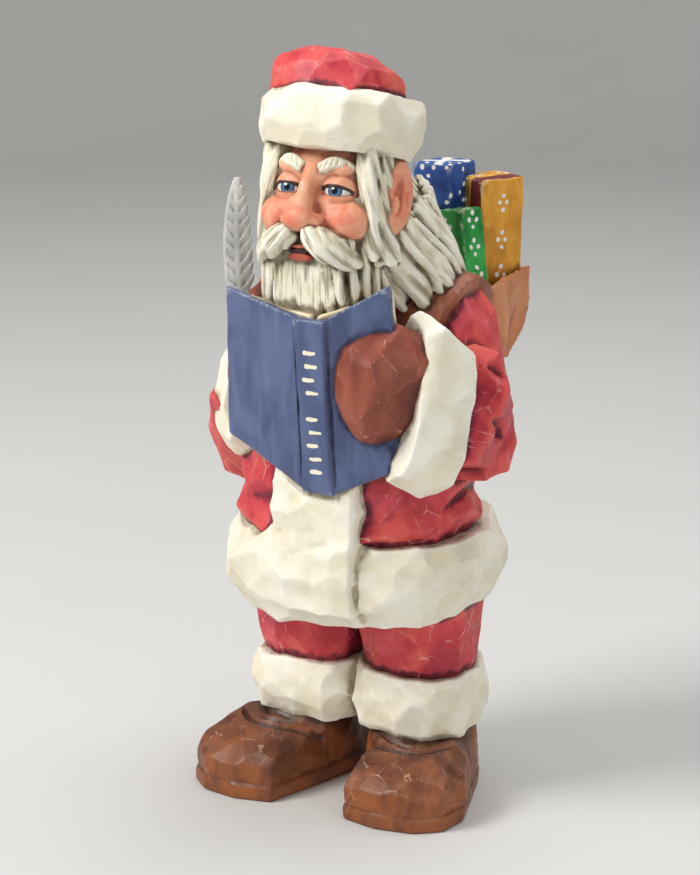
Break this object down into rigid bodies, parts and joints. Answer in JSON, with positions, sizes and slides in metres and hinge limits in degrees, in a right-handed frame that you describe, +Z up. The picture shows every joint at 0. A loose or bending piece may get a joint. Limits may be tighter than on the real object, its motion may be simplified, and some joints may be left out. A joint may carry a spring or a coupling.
{
  "type": "santa figurine",
  "caption": "Hand-carved, painted wooden Santa in big boots, reading an open book, with a feather pen in one mitten and a sack of presents on his back.",
  "frame": {"origin": "on the ground, under the middle of the whole piece's bounding box", "axes": "+Z up; the figure faces -Y; his left hand is towards +X"},
  "size_m": [0.1196, 0.1176, 0.2552],
  "materials": {
    "painted_basswood": "dull satin acrylic paint over carved basswood",
    "painted_quill": "silvery white paint, dull satin, over thin wood"
  },
  "bodies": {
    "root": {"santa_carving": "painted_basswood", "feather_quill": "painted_quill"}
  },
  "joints": []
}
